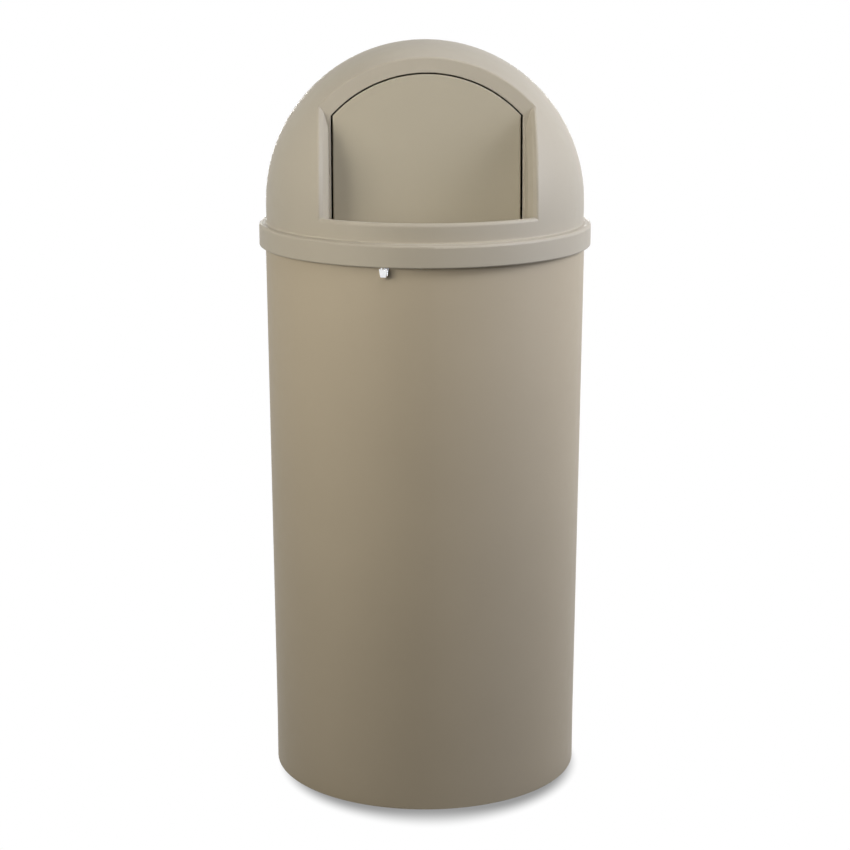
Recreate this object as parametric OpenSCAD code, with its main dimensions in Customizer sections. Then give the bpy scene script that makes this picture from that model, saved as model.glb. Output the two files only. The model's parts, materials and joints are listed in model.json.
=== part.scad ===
// Waste receptacle with a lift-off dome top and a self-closing push door.
// Millimetres, +Z up. The origin is the middle of the footprint on the floor, and the front faces -Y.
// Left and right are as seen from the front.

/* [Base] */
// Height of the base, floor to the top of its rim
base_h = 806; // [600:1:1000]
// Outer radius of the base wall where the skirt begins
base_r = 228.3; // [200:0.1:260]
// How much smaller the radius is at the floor
base_taper = 6; // [2:0.1:15]
// Wall thickness of the base
base_wall = 4; // [3:0.1:5]
// Thickness of the bottom
bottom_t = 5; // [3:0.1:10]
// Height of the bottom above the floor, inside the foot ring
foot_h = 12; // [6:0.5:24]
// Width of the foot ring
foot_w = 16; // [10:0.5:30]
// Rounding of the foot ring's outer edge
foot_round = 3; // [1:0.1:6]
// Height of the narrower neck at the top
neck_h = 24; // [20:0.5:28]
// How far the neck stands in from the wall
neck_step = 5.5; // [4:0.1:7]
// Height of the thick rim around the mouth
rim_h = 9; // [6:0.1:10]
// Rounding of the rim's edges
rim_round = 2.5; // [1:0.1:2.8]

/* [Bag retainer band] */
// Height of the elastic band
band_h = 11; // [8:0.1:12]
// Thickness of the elastic band
band_t = 2; // [1.2:0.1:2.6]
// Width of the pull hook's strip
hook_w = 11.2; // [9:0.1:16]
// Width of the strip at its bend
hook_bend_w = 6.6; // [5:0.1:9]
// Thickness of the pull hook's strip
hook_t = 1.4; // [1:0.1:1.8]
// Inner radius of the pull hook's curl
hook_curl_r = 3.8; // [3.5:0.1:5]
// How far the pull hook shows below the skirt
hook_drop = 14; // [12.5:0.1:20]
// Turn of the pull hook from the front, negative to the left
hook_turn = -15; // [-40:0.5:40]
// Radius of the rivet heads on the band
rivet_head_r = 2; // [1.6:0.1:2.4]
// Radius of the rivet shanks
rivet_r = 1.2; // [0.8:0.1:1.5]

/* [Dome] */
// Wall thickness of the dome and its skirt
dome_wall = 4; // [3:0.1:4.5]
// Height of the dome's straight wall above the base's rim
dome_straight = 33; // [28:0.1:40]
// How far the dome's wall stands in from the base wall
dome_inset = 1.3; // [0:0.1:3]
// How far the skirt hangs below the base's rim
skirt_drop = 27.2; // [25:0.1:32]
// Thickness of the ledge that rests on the rim
ledge_t = 4.5; // [3:0.1:7]
// Gap all round between the skirt and the base wall
skirt_gap = 4.9; // [4.5:0.1:7]
// Rounding of the skirt's top edge
skirt_round = 4.4; // [2:0.1:6]
// Rounding of the skirt's bottom edge
skirt_edge_round = 1.6; // [0.5:0.1:1.8]
// Fillet between the skirt's top and the dome's wall
skirt_fillet = 2.2; // [1:0.1:4]
// Number of centring ribs inside the skirt
rib_count = 12; // [6:1:20]
// Thickness of a centring rib
rib_t = 3; // [2:0.1:5]
// Play of the centring ribs around the rim
rib_play = 0.8; // [0.4:0.1:1.5]

/* [Door recess] */
// How far the recess face stands in from the dome's front
face_inset = 119; // [108:0.1:122]
// Lean of the recess face, its foot forward
face_lean = 5; // [3:0.1:7]
// How far the recess's side edges stand in from the dome's sides
side_inset = 79; // [75:0.5:82]
// Height of the sill's lip above the base's rim
lip_rise = 31.5; // [28:0.1:35]
// Rounding of the sill's lip
lip_r = 5; // [3:0.1:7]
// Slope of the sill, falling inwards
sill_slope = 14; // [12:0.1:15.5]
// Rounding of the recess's outer edge
edge_round = 3; // [1.5:0.1:4]
// Width and depth of the bevel inside the recess's side edges
bevel = 6; // [4:0.1:8]
// Easing of the ridge between the bevel and the side wall, as a radius
ridge_round = 6; // [2:0.5:10]
// Width of the flat strip between the side walls and the opening
strip_w = 1.6; // [1:0.1:3]
// How far the opening's sides stand in from the recess's side edges
opening_inset = 16; // [15:0.5:19]
// Width of the flat band around the arch of the opening
arch_band = 20.9; // [17:0.1:23]
// Clearance between the sill's stop flange and the closed door
stop_gap = 2.2; // [1.8:0.1:3]
// Thickness of the stop flange
stop_t = 3.5; // [2.5:0.1:4]
// How far the stop flange hangs below the door's lower edge
stop_drop = 6; // [4:0.5:10]

/* [Push door] */
// Gap beside the door in its opening
door_gap = 2.7; // [2:0.1:3.5]
// Gap over the door's arch
arch_gap = 2; // [1.5:0.1:3.5]
// Thickness of the door
door_t = 4; // [3:0.1:4.5]
// How far the door's lower edge hangs below the sill's foot
door_tuck = 7.6; // [6:0.1:9]
// Rounding of the door's front edge
door_round = 1.6; // [0.8:0.1:2]
// How far the hinge axis lies below the corners of the door's arch
hinge_below = 13.1; // [10:0.1:16]
// Distance of the hinge axis behind the recess face
hinge_back = 18; // [17.5:0.1:20]
// Thickness of the door's hinge ears
ear_t = 4; // [3:0.1:5]
// Distance from an ear's inner side to the bracket's lug, with the spring between
ear_space = 16.5; // [16:0.5:20]
// Radius of the ears' rounded end
ear_r = 7; // [5.5:0.1:8]
// Depth of the stiffening ribs on the door's back
door_rib_h = 6; // [3:0.5:10]
// Thickness of the stiffening ribs
door_rib_t = 2.5; // [2:0.1:4]

/* [Hinge] */
// Radius of the hinge rod
rod_r = 3; // [2.5:0.1:3.3]
// Running clearance around the hinge rod
rod_clear = 0.06; // [0.03:0.01:0.1]
// Distance from the opening's side to a bracket's lug
lug_inset = 11.5; // [11:0.5:13]
// Thickness of the bracket's steel
bracket_t = 2.2; // [1.5:0.1:2.4]
// Height of the bosses that carry the brackets
boss_h = 5; // [4.5:0.1:5]
// Radius of the bosses
boss_r = 5.5; // [4.5:0.1:6]
// Radius of the bushing's sleeve
bush_r = 4.5; // [4:0.1:5]
// Radius of the bushing's flange
bush_flange_r = 7; // [6:0.1:8]
// Thickness of the bushing's flange
bush_flange_t = 1.2; // [0.8:0.1:1.4]
// Radius of the screws' shank
screw_r = 1.95; // [1.5:0.05:2.2]
// Radius of the screws' heads
screw_head_r = 3.6; // [3:0.1:4.5]
// Thickness of a push nut
nut_t = 1.2; // [0.8:0.1:2]
// Wire radius of the torsion springs
wire_r = 0.75; // [0.5:0.05:0.85]
// Number of turns in a torsion spring
spring_turns = 4; // [3:1:4]
// Gap between a spring's turns
turn_gap = 0.6; // [0.45:0.05:0.65]
// Length of a torsion spring's legs
leg_l = 30; // [20:0.5:40]

/* [Door bumpers] */
// Distance from the door's side to a bumper
bumper_inset = 24.3; // [19:0.1:32]
// Radius of a bumper's pad
bumper_r = 4.5; // [3.5:0.1:5]
// Radius of a bumper's stem
bumper_stem_r = 2.2; // [1.5:0.1:2.5]

/* [Hidden] */
$fn = 96;

// Small named allowances
eps = 0.01;          // overlap that fuses two shapes
over = 1;            // how far a cutter runs past what it cuts
far = 400;           // longer than any cut
seat_play = 0.05;    // play of a sleeve, screw or band in its seat
pad_play = 0.1;      // play between the bumpers and the closed door

// Base
floor_r = base_r - base_taper;
neck_r = base_r - neck_step;
neck_in = neck_r - base_wall;
shoulder_z = base_h - neck_h;
cavity_z = foot_h + bottom_t;

// Dome
dome_r = base_r - dome_inset;
dome_in = dome_r - dome_wall;
dome_z = base_h + dome_straight;    // centre of the dome's sphere
skirt_in = base_r + skirt_gap;
skirt_r = skirt_in + dome_wall;
skirt_z = base_h - skirt_drop;
ledge_top = base_h + ledge_t;

// Recess: its face is a plane that leans back, measured from the dome's centre
face_depth = dome_r - face_inset;        // distance of the face from the centre
face_y = face_depth / cos(face_lean);    // distance of the face in front of the axis, at the centre's height
arch_v = face_depth * tan(face_lean);    // height on the face of the arches' common centre
rim_arch_r = sqrt(pow(dome_r, 2) - pow(face_depth, 2));
open_arch_r = rim_arch_r - arch_band;
door_arch_r = open_arch_r - arch_gap;
recess_x = dome_r - side_inset;
open_x = recess_x - opening_inset;
door_x = open_x - door_gap;
side_wall_r = sqrt(pow(dome_r, 2) - pow(recess_x, 2));    // radius of the recess's edge about its cross axis
bevel_run = 16;      // depth over which the side wall comes in below the bevel
bevel_in = 6;        // how far it comes in there
deep_r = 60;         // inner end of the side walls, well behind the face
clear = 60;          // how far the recess's cutters and blocks reach past the dome

// Sill: a cone that falls inwards from its rounded lip
lip_z = base_h + lip_rise;
lip_c = [dome_r - lip_r, lip_z - lip_r];    // centre of the lip's rounding, radius and height
lip_edge = lip_c + lip_r * [-sin(sill_slope), cos(sill_slope)];
sill_low = lip_edge[1] - lip_edge[0] * tan(sill_slope);    // height of the cone's tip, on the axis
sill_foot = (sill_low + (face_y + dome_z * tan(face_lean)) * tan(sill_slope))
    / (1 + tan(face_lean) * tan(sill_slope));              // height of the sill where it meets the face

// Door
door_low = (sill_foot - door_tuck - dome_z) / cos(face_lean);
door_corner = arch_v + sqrt(pow(door_arch_r, 2) - pow(door_x, 2));    // where the arch meets the sides

// Hinge
hinge_up = door_corner - hinge_below;
hinge_w = -hinge_back;
lug_x = open_x - lug_inset;
ear_x = lug_x - ear_space;
bracket_w = -dome_wall - boss_h;             // front of a bracket's plate
bracket_back = bracket_w - bracket_t;
screw_bite = 1.2;    // how far the screws reach into the dome's wall
screw_len = boss_h + screw_bite + bracket_t;
screw_off = 8.7;     // distance of the screws from the opening's edge
screw_circle_r = open_arch_r + screw_off;
corner_angle = asin(open_x / open_arch_r);
screw_angles = [corner_angle - 13, corner_angle - 2];    // from the top of the arch
lug_r = 9;           // rounded end of a bracket's lug
head_t = 2.2;        // thickness of a screw's head
bush_stand = 1.3;    // how far a bushing's sleeve stands out behind the lug
nut_play = 0.5;      // end play between a bushing and its push nut
rod_end = 1.5;       // how far the rod stands out of a push nut
bush_l = bracket_t + bush_stand;
nut_x = lug_x + bush_l + nut_play;
rod_x = nut_x + nut_t + rod_end;
spring_r = bracket_back - wire_r - seat_play - hinge_w;    // mean radius of the spring's coil
spring_x = ear_x + ear_t + (lug_x - bush_flange_t - ear_x - ear_t - coil_l()) / 2;
bumper_x = door_x - bumper_inset;
bumper_lift = 1.4;   // from the door's lower edge to a bumper's
bumper_v = door_low + bumper_r + bumper_lift;
snap_t = 1.4;        // thickness of a bumper's snap head

// Pull hook, as distances from the base's axis
band_in = neck_r + seat_play;
band_out = band_in + band_t;
band_z = shoulder_z + (neck_h - rim_h - band_h) / 2;
hook_in = band_out + seat_play;
hook_clear = 1.2;    // gap between the hook's leg and the base wall
hook_leg = base_r + hook_clear;
hook_below = 1;      // how far the top of the hook's front lies below the skirt
hook_top = skirt_z - hook_below;
curl_c = [hook_leg + hook_t + hook_curl_r, skirt_z - hook_drop + hook_curl_r + hook_t];
hook_dip = 0.7;      // dip of the front's top edge
hook_dip_r = (pow(hook_w / 2, 2) + pow(hook_dip, 2)) / (2 * hook_dip);
rivet_edge = 0.4;    // from a rivet's head to the strip's edge
rivet_dx = hook_w / 2 - rivet_head_r - rivet_edge;

plastic = [0.66, 0.61, 0.53];
steel = [0.75, 0.75, 0.77];
chrome = [0.88, 0.88, 0.9];
rubber = [0.09, 0.09, 0.09];
nylon = [0.85, 0.84, 0.8];

function coil_l() = spring_turns * (2 * wire_r + turn_gap);

// Places children on the recess face: X across, Y up the face, Z out of it, from the dome's centre height
module on_face() {
    translate([0, -face_y, dome_z]) rotate([90 - face_lean, 0, 0]) children();
}

// Turns children, drawn round Z, so that they go round the X axis through the dome's centre
module about_cross_axis() {
    translate([0, 0, dome_z]) rotate([0, 90, 0]) children();
}

module left_side() {
    mirror([1, 0, 0]) children();
}

// Rectangle from the axis side, whose two outer corners are rounded
module rounded_strip(x0, x1, y0, y1, r_low, r_high) {
    mid = (y0 + y1) / 2;
    translate([x0, y0 + r_low]) square([x1 - x0, y1 - y0 - r_low - r_high]);
    translate([x0, y0]) square([x1 - x0 - r_low, mid - y0]);
    translate([x0, mid]) square([x1 - x0 - r_high, y1 - mid]);
    translate([x1 - r_low, y0 + r_low]) circle(r_low);
    translate([x1 - r_high, y1 - r_high]) circle(r_high);
}

// ---------------------------------------------------------------- base

module base_outline() {
    polygon([[0, 0], [floor_r - foot_round, 0], [floor_r, foot_round],
        [base_r, shoulder_z], [0, shoulder_z]]);
    translate([floor_r - foot_round, foot_round]) circle(foot_round);
    square([neck_r, base_h - rim_h / 2]);
    rounded_strip(neck_in - over, base_r, base_h - rim_h, base_h, rim_round, rim_round);
}

module base_cavity() {
    slope_top = shoulder_z - base_wall;
    polygon([[0, cavity_z], [floor_r - base_wall - foot_round, cavity_z],
        [floor_r - base_wall, cavity_z + foot_round], [base_r - base_wall, slope_top - neck_step],
        [neck_in, slope_top], [neck_in, base_h - rim_round],
        [neck_in + rim_round, base_h + eps], [0, base_h + eps]]);
    polygon([[0, -over], [floor_r - foot_w, -over], [floor_r - foot_w, 0],
        [floor_r - foot_w - foot_h / 3, foot_h], [0, foot_h]]);
}

module base_shell() {
    color(plastic) rotate_extrude() difference() {
        intersection() {
            base_outline();
            square([far, base_h]);
        }
        base_cavity();
    }
}

// Elastic band that holds a bag's edge against the neck
module retainer_band() {
    color(rubber) difference() {
        translate([0, 0, band_z]) cylinder(r = band_out, h = band_h);
        translate([0, 0, band_z - over]) cylinder(r = band_in, h = band_h + 2 * over);
        rotate([0, 0, hook_turn]) for (side = [-1, 1])
            translate([side * rivet_dx, 0, band_z + band_h / 2]) rotate([90, 0, 0])
                cylinder(r = rivet_r + seat_play, h = far);
    }
}

// Clip crimped over the band's joint, at the back
module band_splice() {
    clip_t = 0.8;
    clip_w = 16;
    color(steel) intersection() {
        difference() {
            translate([0, 0, band_z - clip_t]) cylinder(r = band_out + seat_play + clip_t, h = band_h + 2 * clip_t);
            translate([0, 0, band_z - over]) cylinder(r = band_out + seat_play, h = band_h + 2 * over);
        }
        translate([-clip_w / 2, 0, 0]) cube([clip_w, far, base_h]);
    }
}

// The hook's strip over its full width: riveted plate, step over the shoulder and leg, then the round bend,
// then the front
module hook_strip() {
    step_low = shoulder_z;
    step_top = step_low + hook_leg - hook_in;
    turn = hook_t * tan(22.5);
    rotate([90, 0, -90]) translate([0, 0, -hook_w]) {
        linear_extrude(2 * hook_w) polygon([[hook_in, band_z + band_h], [hook_in + hook_t, band_z + band_h],
            [hook_in + hook_t, step_top + turn], [hook_leg + hook_t, step_low + turn],
            [hook_leg + hook_t, curl_c[1]], [hook_leg, curl_c[1]], [hook_leg, step_low], [hook_in, step_top]]);
        linear_extrude(2 * hook_w) intersection() {
            translate(curl_c) difference() {
                circle(hook_curl_r + hook_t);
                circle(hook_curl_r);
            }
            translate(curl_c - [far, far]) square([2 * far, far]);
        }
        linear_extrude(2 * hook_w) translate(curl_c + [hook_curl_r, 0]) square([hook_t, hook_top - curl_c[1]]);
    }
}

// Front outline of the hook's strip, tapered below the skirt
module hook_front() {
    low = skirt_z - hook_drop - over;
    polygon([[-hook_bend_w / 2, low], [hook_bend_w / 2, low], [hook_w / 2, hook_top],
        [hook_w / 2, base_h], [-hook_w / 2, base_h], [-hook_w / 2, hook_top]]);
}

module band_pull_hook() {
    color(chrome) rotate([0, 0, hook_turn]) difference() {
        intersection() {
            hook_strip();
            rotate([90, 0, 0]) linear_extrude(far) hook_front();
        }
        for (side = [-1, 1]) translate([side * rivet_dx, 0, band_z + band_h / 2]) rotate([90, 0, 0])
            cylinder(r = rivet_r + seat_play, h = far);
        translate([0, -curl_c[0], hook_top - hook_dip + hook_dip_r]) rotate([90, 0, 0])
            cylinder(r = hook_dip_r, h = far);
    }
}

module band_rivets() {
    head_t = 0.9;
    near = neck_r + 2 * seat_play;
    outer = hook_in + hook_t + seat_play;
    color(steel) rotate([0, 0, hook_turn]) for (side = [-1, 1])
        translate([side * rivet_dx, 0, band_z + band_h / 2]) rotate([90, 0, 0]) {
            translate([0, 0, near + 0.1]) cylinder(r = rivet_r, h = outer - near);
            translate([0, 0, outer]) cylinder(r1 = rivet_head_r, r2 = rivet_head_r * 0.6, h = head_t);
        }
}

// ---------------------------------------------------------------- dome

module dome_outline() {
    rounded_strip(0, skirt_r, skirt_z, ledge_top, skirt_edge_round, skirt_round);
    translate([0, skirt_z + skirt_round]) square([dome_r, dome_z - skirt_z - skirt_round]);
    difference() {
        translate([dome_r - eps, ledge_top - eps]) square(skirt_fillet + eps);
        translate([dome_r + skirt_fillet, ledge_top + skirt_fillet]) circle(skirt_fillet);
    }
    intersection() {
        translate([0, dome_z]) circle(dome_r);
        translate([0, dome_z - eps]) square(far);
    }
}

module dome_cavity() {
    translate([0, skirt_z - over]) square([skirt_in, base_h - skirt_z + over]);
    translate([0, skirt_z]) square([dome_in, dome_z - skirt_z]);
    intersection() {
        translate([0, dome_z]) circle(dome_in);
        translate([0, dome_z - eps]) square(far);
    }
}

// Half width of the recess against the distance from its cross axis, with the wall's thickness added
function side_profile(wall) = let (face_x = open_x + strip_w) [
    [0, face_x + wall],
    [deep_r, face_x + wall],
    [ridge_p[0] - bevel_run - wall / 2, ridge_p[1] - bevel_in + wall]];

// Ridge where the side wall meets the bevel, eased by two narrow flats that follow a rounding
bevel_d = [-1, -1] / sqrt(2);                 // direction of the bevel, inwards
bevel_n = [-1, 1] / sqrt(2);                  // normal of the bevel, into the wall
ridge_p = [side_wall_r - bevel, recess_x - bevel];
wall_angle = atan(bevel_in / bevel_run);
ridge_turn = (45 - wall_angle) / 2;
ridge_t = ridge_round * tan(ridge_turn);
ridge_wall = ridge_p - [cos(wall_angle), sin(wall_angle)] * ridge_t;    // where the easing meets the side wall
ridge_bevel = ridge_p - bevel_d * ridge_t;                              // where it meets the bevel
ridge_mid = ridge_bevel + bevel_n * ridge_round
    + ridge_round * [sin(wall_angle + ridge_turn), -cos(wall_angle + ridge_turn)];

// Rounding of the recess's side edge: tangent to the dome and to the bevel
edge_p = [side_wall_r, recess_x];
edge_line = (edge_p + bevel_n * edge_round) * bevel_d;
edge_off = edge_p * bevel_n + edge_round;
edge_run = sqrt(pow(dome_r - edge_round, 2) - pow(edge_off, 2));
edge_c = bevel_n * edge_off - bevel_d * edge_run;    // centre of the rounding, on the dome side
edge_out = edge_c / norm(edge_c) * (dome_r + clear);

// Space of the recess, or with a wall given the block that its walls are left from
module recess_sides(wall) {
    inner = side_profile(wall);
    half = wall > 0
        ? concat(inner, [ridge_p + bevel_n * wall,
            [side_wall_r + clear, recess_x + clear + wall * sqrt(2)], [dome_r + clear, 0], [0, 0]])
        : concat(inner, [ridge_wall, ridge_mid, ridge_bevel, edge_c - bevel_n * edge_round, edge_c, edge_out,
            [dome_r + clear, 0], [0, 0]]);
    about_cross_axis() rotate_extrude() for (side = [0, 1]) mirror([0, side]) difference() {
        polygon(half);
        if (wall == 0) translate(edge_c) circle(edge_round);
    }
}

module recess_front(wall) {
    on_face() translate([-far, -far, -wall]) cube([2 * far, 2 * far, far]);
}

module recess_above_sill(wall) {
    wall_low = sill_low - wall / cos(sill_slope);
    rotate_extrude() difference() {
        polygon(wall > 0
            ? [[0, wall_low], [dome_r, wall_low + dome_r * tan(sill_slope)], [dome_r, base_h + far],
                [0, base_h + far]]
            : [[0, sill_low], lip_edge, lip_c, [dome_r + over, lip_c[1]], [dome_r + over, base_h + far],
                [0, base_h + far]]);
        if (wall == 0) translate(lip_c) circle(lip_r);
    }
}

module recess(wall) {
    intersection() {
        recess_sides(wall);
        recess_front(wall);
        recess_above_sill(wall);
    }
}

// Outline of the opening or of the door on the recess face: straight sides and an arched top
module arch(half_w, r, low) {
    intersection() {
        translate([0, arch_v]) circle(r);
        translate([-half_w, low]) square([2 * half_w, 2 * far]);
    }
}

// Ring cutter that rounds the arched edge between the recess face and the dome
module arch_edge_cutter() {
    back = face_depth - edge_round;
    ring_r = sqrt(pow(dome_r - edge_round, 2) - pow(back, 2));
    out = unit([ring_r, back]) * (dome_r + over);
    run_out = 4;         // how far the cutter runs down past the arch's ends
    low = arch_v + sqrt(pow(rim_arch_r, 2) - pow(recess_x, 2)) - run_out;
    intersection() {
        on_face() translate([0, arch_v, -face_depth]) rotate_extrude() difference() {
            polygon([[ring_r, face_depth + over], [ring_r, back], out, [out[0], face_depth + over]]);
            translate([ring_r, back]) circle(edge_round);
        }
        on_face() translate([-(recess_x - bevel / 2), low, -far]) cube([2 * recess_x - bevel, far, 2 * far]);
    }
}

// Flange that hangs from the sill's inner edge and stops the door
module stop_flange() {
    low = door_low - stop_drop;
    top = sill_low - dome_wall / 2;
    intersection() {
        on_face() difference() {
            translate([-open_x - strip_w, low, stop_gap]) cube([2 * (open_x + strip_w), far, stop_t]);
            for (side = [-1, 1]) translate([side * bumper_x, bumper_v, 0])
                cylinder(r = bumper_stem_r + seat_play, h = stop_gap + stop_t + over);
        }
        rotate_extrude() polygon([[0, skirt_z], [dome_in, skirt_z], [dome_in, top + dome_in * tan(sill_slope)],
            [0, top]]);
    }
}

module screw_places() {
    for (angle = screw_angles)
        translate([screw_circle_r * sin(angle), arch_v + screw_circle_r * cos(angle), 0]) children();
}

module dome_shell() {
    color(plastic) union() {
        difference() {
            union() {
                rotate_extrude() difference() {
                    dome_outline();
                    dome_cavity();
                }
                intersection() {
                    rotate_extrude() dome_outline();
                    recess(dome_wall);
                }
                on_face() for (side = [0, 1]) mirror([side, 0, 0]) screw_places()
                    translate([0, 0, bracket_w]) cylinder(r = boss_r, h = boss_h + over);
            }
            recess(0);
            arch_edge_cutter();
            on_face() translate([0, 0, -dome_wall - over / 2]) linear_extrude(dome_wall + stop_gap + over / 2)
                arch(open_x, open_arch_r, -far);
            on_face() for (side = [0, 1]) mirror([side, 0, 0]) screw_places()
                translate([0, 0, bracket_w - over]) cylinder(r = screw_r + seat_play, h = over + boss_h + screw_bite + 6 * seat_play);
        }
        stop_flange();
        for (i = [0 : rib_count - 1]) rotate([0, 0, (i + 0.5) * 360 / rib_count])
            translate([base_r + rib_play, -rib_t / 2, base_h - rim_h])
                cube([skirt_gap - rib_play + dome_wall / 2, rib_t, rim_h + ledge_t / 2]);
    }
}

// Pressed steel bracket: a plate on two bosses, and a lug turned back round the hinge axis
module bracket() {
    screw = [for (angle = screw_angles)
        [screw_circle_r * sin(angle), arch_v + screw_circle_r * cos(angle)]];
    pad_r = 7;                        // rounding of the plate round the screws
    plate_low = hinge_up + 8;
    plate_in = lug_x - 8;
    plate_out = lug_x + bracket_t + 5;
    lug_top = hinge_up + 26;
    lug_back = bracket_back - 1;      // back of the lug where it runs out along the plate
    lug_heel = hinge_w - 4;
    color(steel) on_face() {
        difference() {
            union() {
                translate([0, 0, bracket_back]) linear_extrude(bracket_t) {
                    polygon([[plate_in, plate_low], [plate_out, plate_low],
                        screw[1] + [pad_r, 0], screw[1] + [0, pad_r], screw[0] + [0, pad_r], screw[0] - [pad_r, 0]]);
                    for (s = screw) translate(s) circle(pad_r);
                }
                translate([lug_x, 0, 0]) rotate([90, 0, 90]) linear_extrude(bracket_t) {
                    translate([hinge_up, hinge_w]) circle(lug_r);
                    polygon([[plate_low, bracket_w - eps], [lug_top, bracket_w - eps], [lug_top, lug_back],
                        [hinge_up + lug_r, lug_heel], [hinge_up, hinge_w], [hinge_up + 2, bracket_back + eps]]);
                }
            }
            screw_places() translate([0, 0, bracket_back - over])
                cylinder(r = screw_r + 0.3, h = bracket_t + 2 * over);
            translate([lug_x - over, hinge_up, hinge_w]) rotate([0, 90, 0])
                cylinder(r = bush_r + seat_play, h = bracket_t + 2 * over);
        }
    }
}

module hinge_bracket_right() { bracket(); }
module hinge_bracket_left() { left_side() bracket(); }

module bracket_screws() {
    color(steel) on_face() screw_places() translate([0, 0, bracket_back]) {
        cylinder(r = screw_r, h = screw_len);
        difference() {
            translate([0, 0, -head_t]) cylinder(r1 = screw_head_r * 0.75, r2 = screw_head_r, h = head_t);
            for (turn = [0, 90]) rotate([0, 0, turn]) translate([-2, -0.4, -head_t - over]) cube([4, 0.8, over + 1.2]);
        }
    }
}

module bracket_screws_right() { bracket_screws(); }
module bracket_screws_left() { left_side() bracket_screws(); }

module hinge_bushing() {
    color(nylon) on_face() translate([lug_x, hinge_up, hinge_w]) rotate([0, 90, 0]) difference() {
        union() {
            translate([0, 0, -bush_flange_t]) cylinder(r = bush_flange_r, h = bush_flange_t);
            translate([0, 0, -eps]) cylinder(r = bush_r, h = bush_l);
        }
        translate([0, 0, -bush_flange_t - over]) cylinder(r = rod_r + rod_clear, h = bush_l + 2 * over + bush_flange_t);
    }
}

module hinge_bushing_right() { hinge_bushing(); }
module hinge_bushing_left() { left_side() hinge_bushing(); }

module door_bumper() {
    color(rubber) on_face() translate([bumper_x, bumper_v, 0]) {
        translate([0, 0, pad_play]) cylinder(r = bumper_r, h = stop_gap - pad_play);
        translate([0, 0, stop_gap - eps]) cylinder(r = bumper_stem_r, h = stop_t + eps + snap_t / 2);
        translate([0, 0, stop_gap + stop_t]) cylinder(r1 = bumper_stem_r + 0.8, r2 = bumper_stem_r, h = snap_t);
    }
}

module door_bumper_right() { door_bumper(); }
module door_bumper_left() { left_side() door_bumper(); }

// ---------------------------------------------------------------- door

// Half of the door plate's section, with its front edge rounded
module door_section(half_w) {
    translate([0, -door_t]) square([half_w, door_t - door_round]);
    translate([0, -door_t]) square([half_w - door_round, door_t]);
    translate([half_w - door_round, -door_round]) circle(door_round);
}

// Plate between two rounded sides, with its top cut to a rounded arch
module door_plate() {
    top = arch_v + door_arch_r;
    intersection() {
        translate([0, arch_v, 0]) rotate_extrude() door_section(door_arch_r);
        translate([0, top, 0]) rotate([90, 0, 0]) linear_extrude(top - door_low)
            for (side = [0, 1]) mirror([side, 0]) door_section(door_x);
    }
}

module push_door() {
    rib_margin = 12;     // from the ribs' frame to the ears and the hinge axis
    ear_foot = 3;        // how much wider an ear is where it meets the plate
    rib_low = door_low + 8;
    rib_high = hinge_up - rib_margin;
    rib_x = ear_x - rib_margin;
    back = -door_t - door_rib_h;
    color(plastic) on_face() difference() {
        union() {
            door_plate();
            for (side = [-1, 1]) {
                translate([side * (ear_x + ear_t / 2) - ear_t / 2, 0, 0]) rotate([90, 0, 90]) linear_extrude(ear_t) {
                    translate([hinge_up, hinge_w]) circle(ear_r);
                    polygon([[hinge_up - ear_r - ear_foot, -door_t + over],
                        [hinge_up + ear_r + ear_foot, -door_t + over],
                        [hinge_up + ear_r, hinge_w], [hinge_up - ear_r, hinge_w]]);
                }
                translate([side * rib_x - door_rib_t / 2, rib_low, back])
                    cube([door_rib_t, rib_high - rib_low, door_rib_h + over]);
            }
            for (v = [rib_low, (rib_low + rib_high) / 2, rib_high])
                translate([-rib_x, v - door_rib_t / 2, back]) cube([2 * rib_x, door_rib_t, door_rib_h + over]);
        }
        translate([-far, hinge_up, hinge_w]) rotate([0, 90, 0]) cylinder(r = rod_r + seat_play, h = 2 * far);
    }
}

module hinge_rod() {
    color(steel) on_face() translate([-rod_x, hinge_up, hinge_w]) rotate([0, 90, 0]) cylinder(r = rod_r, h = 2 * rod_x);
}

module push_nut() {
    color(steel) on_face() translate([nut_x, hinge_up, hinge_w]) rotate([0, 90, 0]) difference() {
        cylinder(r1 = bush_flange_r - 0.3, r2 = bush_flange_r - 1.5, h = nut_t);
        translate([0, 0, -over]) cylinder(r = rod_r + 0.02, h = nut_t + 2 * over);
    }
}

module rod_push_nut_right() { push_nut(); }
module rod_push_nut_left() { left_side() push_nut(); }

// Torsion spring: one leg on the door's back, whole turns round the rod, one leg behind the bracket
steps = 14;          // rings in one turn
sides = 6;           // sides of the wire
leg_bend = 5;        // length of the bend beside the coil
door_leg_w = -door_t - wire_r - seat_play;
spring_path = concat(
    [[spring_x, hinge_up - leg_l, door_leg_w], [spring_x, hinge_up - leg_l * 0.6, door_leg_w],
        [spring_x, hinge_up - leg_bend, hinge_w + spring_r - 0.4]],
    [for (i = [0 : steps * spring_turns]) let (a = i * 360 / steps)
        [spring_x + coil_l() * i / steps / spring_turns,
            hinge_up + spring_r * sin(a), hinge_w + spring_r * cos(a)]],
    [[spring_x + coil_l(), hinge_up + leg_bend, hinge_w + spring_r],
        [spring_x + coil_l(), hinge_up + leg_l, hinge_w + spring_r]]);

function unit(v) = v / norm(v);

// Least distance between the coil's turns, surface to surface
echo(least_gap_between_turns = coil_l() / spring_turns - 2 * wire_r);

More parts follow.
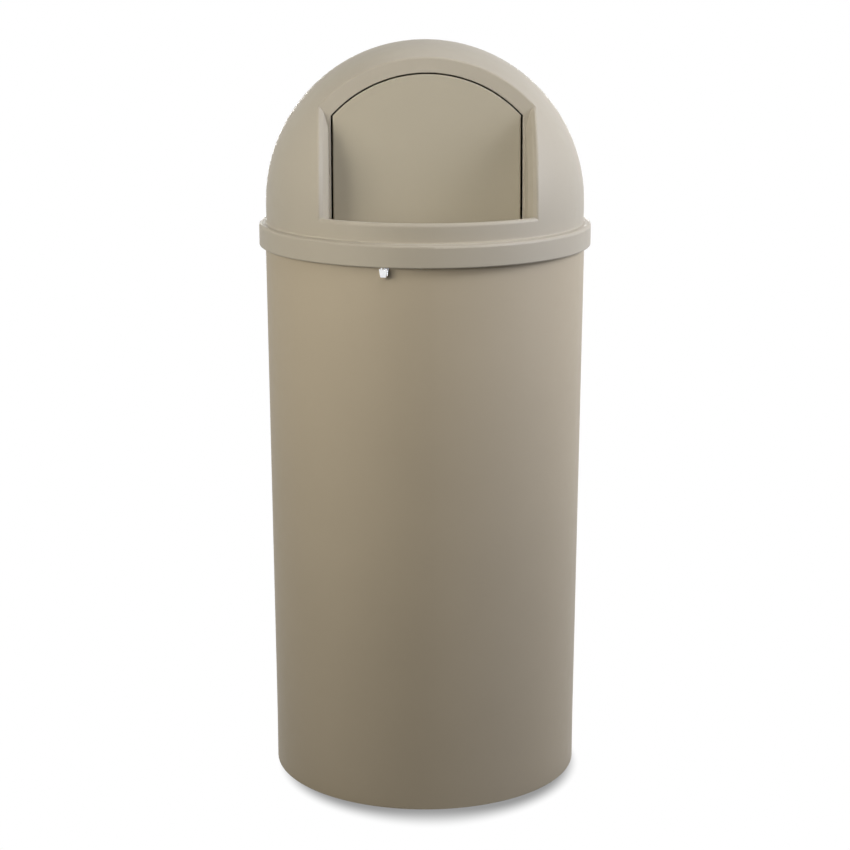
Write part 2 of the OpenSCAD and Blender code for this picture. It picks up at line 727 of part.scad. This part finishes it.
module wire(path) {
    last = len(path) - 1;
    points = [for (i = [0 : last]) let (
            along = unit(path[min(i + 1, last)] - path[max(i - 1, 0)]),
            across = unit(cross(along, [1, 0, 0])),
            up = cross(across, along))
        for (k = [0 : sides - 1]) let (a = k * 360 / sides)
            path[i] + wire_r * (across * cos(a) + up * sin(a))];
    faces = concat(
        [[for (k = [sides - 1 : -1 : 0]) k]],
        [for (i = [0 : last - 1], k = [0 : sides - 1]) let (n = (k + 1) % sides)
            [i * sides + k, i * sides + n, (i + 1) * sides + n, (i + 1) * sides + k]],
        [[for (k = [0 : sides - 1]) last * sides + k]]);
    polyhedron(points, faces);
}

module torsion_spring_right() { color(steel) on_face() wire(spring_path); }
module torsion_spring_left() { left_side() torsion_spring_right(); }

base_shell();
retainer_band();
band_splice();
band_pull_hook();
band_rivets();
dome_shell();
hinge_bracket_left();
hinge_bracket_right();
bracket_screws_left();
bracket_screws_right();
hinge_bushing_left();
hinge_bushing_right();
door_bumper_left();
door_bumper_right();
push_door();
hinge_rod();
rod_push_nut_left();
rod_push_nut_right();
torsion_spring_left();
torsion_spring_right();
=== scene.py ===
"""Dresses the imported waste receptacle: finishes, round springs, a moulding mark, light and camera.

Lengths are in metres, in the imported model's frame: +Z up, the front faces -Y, the floor at z = 0.
"""
import json
import math

import bmesh
import bpy
from mathutils import Matrix, Vector


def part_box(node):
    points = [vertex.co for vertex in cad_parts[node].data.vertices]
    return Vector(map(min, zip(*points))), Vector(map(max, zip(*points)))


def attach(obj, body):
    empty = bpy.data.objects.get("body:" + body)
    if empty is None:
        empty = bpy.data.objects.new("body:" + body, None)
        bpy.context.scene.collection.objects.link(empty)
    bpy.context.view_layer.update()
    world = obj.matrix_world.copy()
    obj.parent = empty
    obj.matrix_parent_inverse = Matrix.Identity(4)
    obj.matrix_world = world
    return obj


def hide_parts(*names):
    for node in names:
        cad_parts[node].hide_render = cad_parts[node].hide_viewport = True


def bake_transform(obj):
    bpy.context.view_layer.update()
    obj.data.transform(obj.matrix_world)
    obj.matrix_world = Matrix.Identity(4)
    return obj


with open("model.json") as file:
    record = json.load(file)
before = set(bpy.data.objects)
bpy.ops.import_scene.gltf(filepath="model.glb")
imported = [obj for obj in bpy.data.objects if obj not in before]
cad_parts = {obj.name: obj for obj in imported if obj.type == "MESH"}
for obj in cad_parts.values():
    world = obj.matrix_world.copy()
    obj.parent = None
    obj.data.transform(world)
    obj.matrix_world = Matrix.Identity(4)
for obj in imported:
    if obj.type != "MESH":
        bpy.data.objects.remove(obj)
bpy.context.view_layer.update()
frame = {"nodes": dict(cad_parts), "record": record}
for packed in list(bpy.data.materials):
    bpy.data.materials.remove(packed)


def add_object(name, data):
    added = bpy.data.objects.new(name, data)
    bpy.context.scene.collection.objects.link(added)
    return added


# ---------------------------------------------------------------- camera

FRAME_PX = 850
FOCAL_PX = 2135.7
SENSOR_MM = 36.0
CAMERA_DISTANCE = 3.0456
CAMERA_HEIGHT = 1.2429
CAMERA_PITCH = math.radians(13.56)    # how far it looks down
CAMERA_TURN = math.radians(1.5)       # how far it stands towards the left side
CLIP_START, CLIP_END = 0.05, 50


def add_camera():
    data = bpy.data.cameras.new("camera")
    data.sensor_fit = "HORIZONTAL"
    data.sensor_width = SENSOR_MM
    data.lens = FOCAL_PX / FRAME_PX * SENSOR_MM
    data.clip_start, data.clip_end = CLIP_START, CLIP_END
    camera = add_object("camera", data)
    camera.location = (
        -CAMERA_DISTANCE * math.sin(CAMERA_TURN),
        -CAMERA_DISTANCE * math.cos(CAMERA_TURN),
        CAMERA_HEIGHT,
    )
    camera.rotation_euler = (math.pi / 2 - CAMERA_PITCH, 0, -CAMERA_TURN)
    bpy.context.scene.camera = camera


# ---------------------------------------------------------------- shader nodes

NOISE_RANGE = (0.3, 0.7)    # most of a noise texture's values lie between these
BEVEL_SAMPLES = 6


class Graph:
    """The shader nodes of a material or of the world. Most methods add one and return an output."""

    def __init__(self, tree):
        self.nodes, self.links = tree.nodes, tree.links

    def feed(self, node, inputs):
        """Gives each input, by name or number, its value or the output that feeds it."""
        for name, value in inputs.items():
            if isinstance(value, bpy.types.NodeSocket):
                self.links.new(value, node.inputs[name])
            else:
                node.inputs[name].default_value = value

    def add(self, kind, output, inputs=None, **settings):
        node = self.nodes.new("ShaderNode" + kind)
        for name, value in settings.items():
            setattr(node, name, value)
        self.feed(node, inputs or {})
        return node.outputs[output]

    def math(self, operation, *values):
        return self.add("Math", "Value", dict(enumerate(values)), operation=operation)

    def vector_math(self, operation, *values, output="Vector"):
        return self.add("VectorMath", output, dict(enumerate(values)), operation=operation)

    def object_coordinates(self):
        return self.add("TexCoord", "Object")

    def noise(self, place, scale, detail, roughness=0.5, stretch=None):
        """A noise texture's value, with its grain stretched along each axis by stretch."""
        if stretch:
            scales = [1 / s for s in stretch]
            place = self.add("Mapping", "Vector", {"Vector": place, "Scale": scales})
        inputs = {"Vector": place, "Scale": scale, "Detail": detail, "Roughness": roughness}
        return self.add("TexNoise", "Fac", inputs)

    def map_range(self, value, source, target, **settings):
        ends = dict(zip(("From Min", "From Max", "To Min", "To Max"), (*source, *target)))
        return self.add("MapRange", "Result", {"Value": value, **ends}, **settings)

    def vary(self, noise, low, high):
        """A value that follows a noise from low to high."""
        return self.map_range(noise, NOISE_RANGE, (low, high))

    def tint(self, value, dark, light):
        """Mixes two colours by a value."""
        inputs = {"Factor": value, "A": (*dark, 1), "B": (*light, 1)}
        return self.add("Mix", "Result", inputs, data_type="RGBA")

    def broken_edges(self, radius):
        """Normals that turn softly over the sharp edges, as far as radius from them."""
        return self.add("Bevel", "Normal", {"Radius": radius}, samples=BEVEL_SAMPLES)

    def bump(self, height, distance, normal):
        inputs = {"Height": height, "Distance": distance, "Normal": normal}
        return self.add("Bump", "Normal", inputs)


# ---------------------------------------------------------------- materials

SHADER = "Principled BSDF"

CLOUD_SCALE, CLOUD_DEPTH = 5, 0.02     # clouds of lighter and darker plastic
PATCH_SCALE, PATCH_DEPTH = 60, 0.03    # patches of rougher and smoother plastic
WAVE_SCALE = 22
GRAIN_SCALE = 900

RUBBER_DUST_SCALE, RUBBER_DUST = 120, 1.7    # dust that makes the rubber lighter in places
RUBBER_GRAIN_SCALE, RUBBER_GRAIN = 1500, 0.00004

STAIN_SCALE, STAIN_SHADE = 90, 0.9     # stains that make the metal darker in places
SMOOTHEST, ROUGHEST = 0.8, 1.2         # how a metal's roughness varies along its lines

FINE_EDGE = 0.0004                     # rounding of the edges of rubber and metal
FINE_DETAIL_ROUGHNESS = 0.6

BASE_BEIGE = (0.392, 0.334, 0.246)
DOME_BEIGE = (0.370, 0.332, 0.266)
DOOR_BEIGE = (0.361, 0.322, 0.246)


def new_material(name):
    material = bpy.data.materials.new(name)
    material.use_nodes = True
    return material, Graph(material.node_tree)


def shade(colour, factor):
    return tuple(c * factor for c in colour)


def moulded_plastic(name, colour, roughness, grain, waves, edge, shine):
    """Satin plastic: a fine spark-eroded grain over the soft waves that a moulding keeps."""
    material, graph = new_material(name)
    place = graph.object_coordinates()
    clouds = graph.vary(graph.noise(place, CLOUD_SCALE, detail=3), 0, 1)
    dark, light = shade(colour, 1 - CLOUD_DEPTH), shade(colour, 1 + CLOUD_DEPTH)
    patches = graph.noise(place, PATCH_SCALE, detail=3)
    soft = graph.bump(graph.noise(place, WAVE_SCALE, detail=1), waves, graph.broken_edges(edge))
    grains = graph.noise(place, GRAIN_SCALE, detail=2, roughness=FINE_DETAIL_ROUGHNESS)
    graph.feed(graph.nodes[SHADER], {
        "Base Color": graph.tint(clouds, dark, light),
        "Roughness": graph.vary(patches, roughness - PATCH_DEPTH, roughness + PATCH_DEPTH),
        "Normal": graph.bump(grains, grain, soft),
        "Specular IOR Level": shine,
    })
    return material


def rubber(name, colour, roughness):
    material, graph = new_material(name)
    place = graph.object_coordinates()
    dust = graph.vary(graph.noise(place, RUBBER_DUST_SCALE, detail=4), 0, 1)
    grains = graph.noise(place, RUBBER_GRAIN_SCALE, detail=2)
    graph.feed(graph.nodes[SHADER], {
        "Base Color": graph.tint(dust, colour, shade(colour, RUBBER_DUST)),
        "Roughness": roughness,
        "Normal": graph.bump(grains, RUBBER_GRAIN, graph.broken_edges(FINE_EDGE)),
    })
    return material


def metal(name, colour, roughness, scratch, line_scale, stretch, metallic):
    """Plated, drawn or coated steel: its fine lines run along the stretched axis."""
    material, graph = new_material(name)
    place = graph.object_coordinates()
    lines = graph.noise(place, line_scale, 3, FINE_DETAIL_ROUGHNESS, stretch)
    stains = graph.vary(graph.noise(place, STAIN_SCALE, detail=3), 0, 1)
    graph.feed(graph.nodes[SHADER], {
        "Base Color": graph.tint(stains, shade(colour, STAIN_SHADE), colour),
        "Roughness": graph.vary(lines, roughness * SMOOTHEST, roughness * ROUGHEST),
        "Normal": graph.bump(lines, scratch, graph.broken_edges(FINE_EDGE)),
        "Metallic": metallic,
    })
    return material


# slot: colour, roughness, height of the grain and of the waves, rounding of the edges, shine
PLASTICS = {
    "base_plastic": (BASE_BEIGE, 0.48, 0.00003, 0.0001, 0.0007, 0.12),
    "dome_plastic": (DOME_BEIGE, 0.44, 0.00002, 0.0001, 0.002, 0.16),
    "door_plastic": (DOOR_BEIGE, 0.46, 0.00006, 0.00008, 0.001, 0.2),
    "white_nylon": ((0.74, 0.72, 0.66), 0.45, 0.00002, 0.00005, 0.0003, 0.25),
}
# slot: colour, roughness
RUBBERS = {
    "band_rubber": ((0.025, 0.025, 0.026), 0.75),
    "bumper_rubber": ((0.03, 0.03, 0.03), 0.6),
}
# slot: colour, roughness, depth of the scratches, scale and stretch of the lines, metallic
METALS = {
    "hook_chrome": ((0.86, 0.87, 0.89), 0.1, 0.000002, 300, None, 1),
    "zinc_steel": ((0.62, 0.62, 0.60), 0.32, 0.00001, 700, None, 1),
    # coated_steel is a black coat. Its near black also stands in for the shade in the door's gap
    # where the brackets show through: partly painted shade
    "coated_steel": ((0.018, 0.018, 0.019), 0.55, 0.00002, 900, None, 0),
    "spring_steel": ((0.30, 0.30, 0.31), 0.35, 0.00001, 700, (8, 1, 1), 1),
}

MATERIALS = {}
for make, finishes in ((moulded_plastic, PLASTICS), (rubber, RUBBERS), (metal, METALS)):
    for finish, values in finishes.items():
        MATERIALS[finish] = make(finish, *values)


def finish_cad_nodes():
    for part in frame["record"]["subparts"]:
        node = frame["nodes"][part["node"]]
        node.data.materials.clear()
        node.data.materials.append(MATERIALS[part["material_slot"]])


# ---------------------------------------------------------------- pieces

SAME_CORNER = 1e-6                     # corners that are closer than this are one
JOIN_BEND = math.radians(40)           # greatest bend between two triangles that become one face
JOIN_SKEW = math.radians(60)           # greatest skew of that face

STUB_HALF = (0.0022, 0.0014, 0.0014)    # half the gate stub's size along each axis
STUB_X = -0.0114
STUB_IN, STUB_UP = 0.0024, 0.0003      # its centre, from the skirt's front and its lower edge
STUB_SEGMENTS, STUB_RINGS = 24, 12


def smooth_mesh(name, shape):
    for face in shape.faces:
        face.smooth = True
    mesh = bpy.data.meshes.new(name)
    shape.to_mesh(mesh)
    shape.free()
    return mesh


def new_piece(name, mesh, slot):
    mesh.materials.clear()
    mesh.materials.append(MATERIALS[slot])
    piece = add_object(name, mesh)
    return piece


def add_round_spring(node):
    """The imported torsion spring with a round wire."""
    name = "round_" + node
    shape = bmesh.new()
    shape.from_mesh(frame["nodes"][node].data)
    bmesh.ops.remove_doubles(shape, verts=shape.verts, dist=SAME_CORNER)
    bmesh.ops.join_triangles(
        shape, faces=shape.faces, angle_face_threshold=JOIN_BEND, angle_shape_threshold=JOIN_SKEW)
    draft = add_object("draft", smooth_mesh(name, shape))
    draft.modifiers.new("round", "SUBSURF").levels = 1
    rounded = draft.evaluated_get(bpy.context.evaluated_depsgraph_get())
    spring = new_piece(name, bpy.data.meshes.new_from_object(rounded), "spring_steel")
    bpy.data.objects.remove(draft)
    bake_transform(spring)
    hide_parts(node)


def add_gate_stub():
    """Stub left by the mould's gate on the skirt's lower edge, left of the middle."""
    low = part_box("dome_shell")[0]
    shape = bmesh.new()
    size = Matrix.Diagonal((*STUB_HALF, 1))
    bmesh.ops.create_uvsphere(
        shape, u_segments=STUB_SEGMENTS, v_segments=STUB_RINGS, radius=1, matrix=size)
    stub = new_piece("gate_stub", smooth_mesh("gate_stub", shape), "dome_plastic")
    stub.location = (STUB_X, low.y + STUB_IN, low.z + STUB_UP)
    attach(stub, "dome")


# ---------------------------------------------------------------- floor and background

FLOOR_HALF = 12
FLOOR_GREY = 0.3                       # what the floor throws back onto the object
AMBIENT = 0.004                        # what the background throws onto the object
SHADOW_CENTRE = (0.004, -0.032)        # the soft shadow round the foot lies towards the front
SHADOW_RADIUS = 0.224
SHADOW_DEPTH = 0.68
SHADOW_SQUEEZE = 1.05                  # it is narrower than deep by this
SOFT_ACROSS, SOFT_DEEP = 0.0145, 0.035    # half width of its soft edge, sideways and forwards


def seen_directly(graph):
    """1 for the camera, in reflections and through glass, 0 for the light that reaches the object."""
    outputs = graph.nodes.new("ShaderNodeLightPath").outputs
    seen = outputs["Is Camera Ray"]
    for name in ("Is Glossy Ray", "Is Transmission Ray"):
        seen = graph.math("MAXIMUM", seen, outputs[name])
    return seen


def foot_shadow(graph):
    """1 under the foot, falling to 0 over the shadow's soft edge."""
    place = graph.vector_math("SUBTRACT", graph.object_coordinates(), (*SHADOW_CENTRE, 0))
    place = graph.vector_math("MULTIPLY", place, (SHADOW_SQUEEZE, 1, 0))
    reach = graph.vector_math("LENGTH", place, output="Value")
    soft_widths = graph.vector_math("MULTIPLY", place, (1 / SOFT_ACROSS, 1 / SOFT_DEEP, 0))
    widths = graph.vector_math("LENGTH", soft_widths, output="Value")
    steepness = graph.math("DIVIDE", widths, reach)
    past_edge = graph.math("MULTIPLY", graph.math("SUBTRACT", reach, SHADOW_RADIUS), steepness)
    return graph.map_range(past_edge, (-1, 1), (1, 0), interpolation_type="SMOOTHSTEP")


def floor_material():
    """White where it is seen, but for the soft shadow round the object's foot."""
    material, graph = new_material("floor")
    graph.nodes.remove(graph.nodes[SHADER])
    grey = graph.add("BsdfDiffuse", "BSDF", {"Color": (FLOOR_GREY, FLOOR_GREY, FLOOR_GREY, 1)})
    dark = graph.math("MULTIPLY", foot_shadow(graph), SHADOW_DEPTH)
    white = graph.add("Emission", "Emission", {"Strength": graph.math("SUBTRACT", 1, dark)})
    mixed = graph.add("MixShader", "Shader", {"Fac": seen_directly(graph), 1: grey, 2: white})
    graph.feed(graph.nodes["Material Output"], {"Surface": mixed})
    return material


def add_floor():
    corners = [(x * FLOOR_HALF, y * FLOOR_HALF, 0) for x, y in ((-1, -1), (1, -1), (1, 1), (-1, 1))]
    mesh = bpy.data.meshes.new("floor")
    mesh.from_pydata(corners, [], [(0, 1, 2, 3)])
    mesh.materials.append(floor_material())
    floor = add_object("floor", mesh)


def add_world():
    """White where it is seen, and a faint even light on the object."""
    world = bpy.data.worlds.new("studio")
    bpy.context.scene.world = world
    world.use_nodes = True
    graph = Graph(world.node_tree)
    strength = graph.map_range(seen_directly(graph), (0, 1), (AMBIENT, 1))
    graph.feed(graph.nodes["Background"], {"Color": (1, 1, 1, 1), "Strength": strength})


# ---------------------------------------------------------------- lamps

WARM = (1.0, 0.97, 0.90)
WHITE = (1.0, 1.0, 1.0)
COOL = (0.87, 0.90, 1.0)

# name, colour, azimuth, elevation, distance, height aimed at, width and height, watts, spread
SOFTBOXES = [
    ("left", WARM, -45, 15, 2.2, 0.7, (0.5, 1.2), 11.6, 180),
    ("left_side", WARM, -58, 20, 2.0, 0.7, (0.5, 1.4), 12.0, 180),
    ("left_dome", WARM, -35, 12, 2.2, 0.9, (0.5, 0.6), 1.0, 50),
    ("front_high", WHITE, 0, 50, 1.7, 1.0, (1.2, 0.7), 2.6, 80),
    ("right_dome", COOL, 62, 22, 2.0, 0.95, (0.5, 1.0), 1.9, 90),
    ("right_side", COOL, 78, 20, 2.0, 0.7, (0.5, 1.4), 26.1, 180),
    ("right_high", COOL, 78, 28, 1.8, 1.0, (0.6, 0.9), 2.8, 70),
    ("right_rim", WHITE, 105, 15, 2.2, 0.7, (0.6, 1.6), 1.5, 180),
    ("back", WHITE, 180, 4, 2.6, 0.55, (1.4, 0.6), 4, 46),
    ("back_high", WHITE, 180, 60, 2.0, 0.8, (1.2, 0.6), 1.0, 100),
]


def add_softbox(name, colour, azimuth, elevation, distance, aim_height, size, watts, spread):
    """Area lamp aimed at the object's axis. Azimuth 0 is in front and 90 to the right."""
    data = bpy.data.lights.new(name, "AREA")
    data.color = colour
    data.shape = "RECTANGLE"
    data.size, data.size_y = size
    data.energy = watts
    data.spread = math.radians(spread)
    a, e = math.radians(azimuth), math.radians(elevation)
    away = Vector((math.sin(a) * math.cos(e), -math.cos(a) * math.cos(e), math.sin(e)))
    lamp = add_object(name, data)
    lamp.location = Vector((0, 0, aim_height)) + distance * away
    lamp.rotation_euler = away.to_track_quat("Z", "Y").to_euler()
    lamp.visible_camera = False


# ---------------------------------------------------------------- scene

add_camera()
finish_cad_nodes()
for spring_node in ("torsion_spring_left", "torsion_spring_right"):
    add_round_spring(spring_node)
add_gate_stub()
add_floor()
add_world()
for softbox in SOFTBOXES:
    add_softbox(*softbox)

bpy.context.scene.view_settings.view_transform = "Standard"
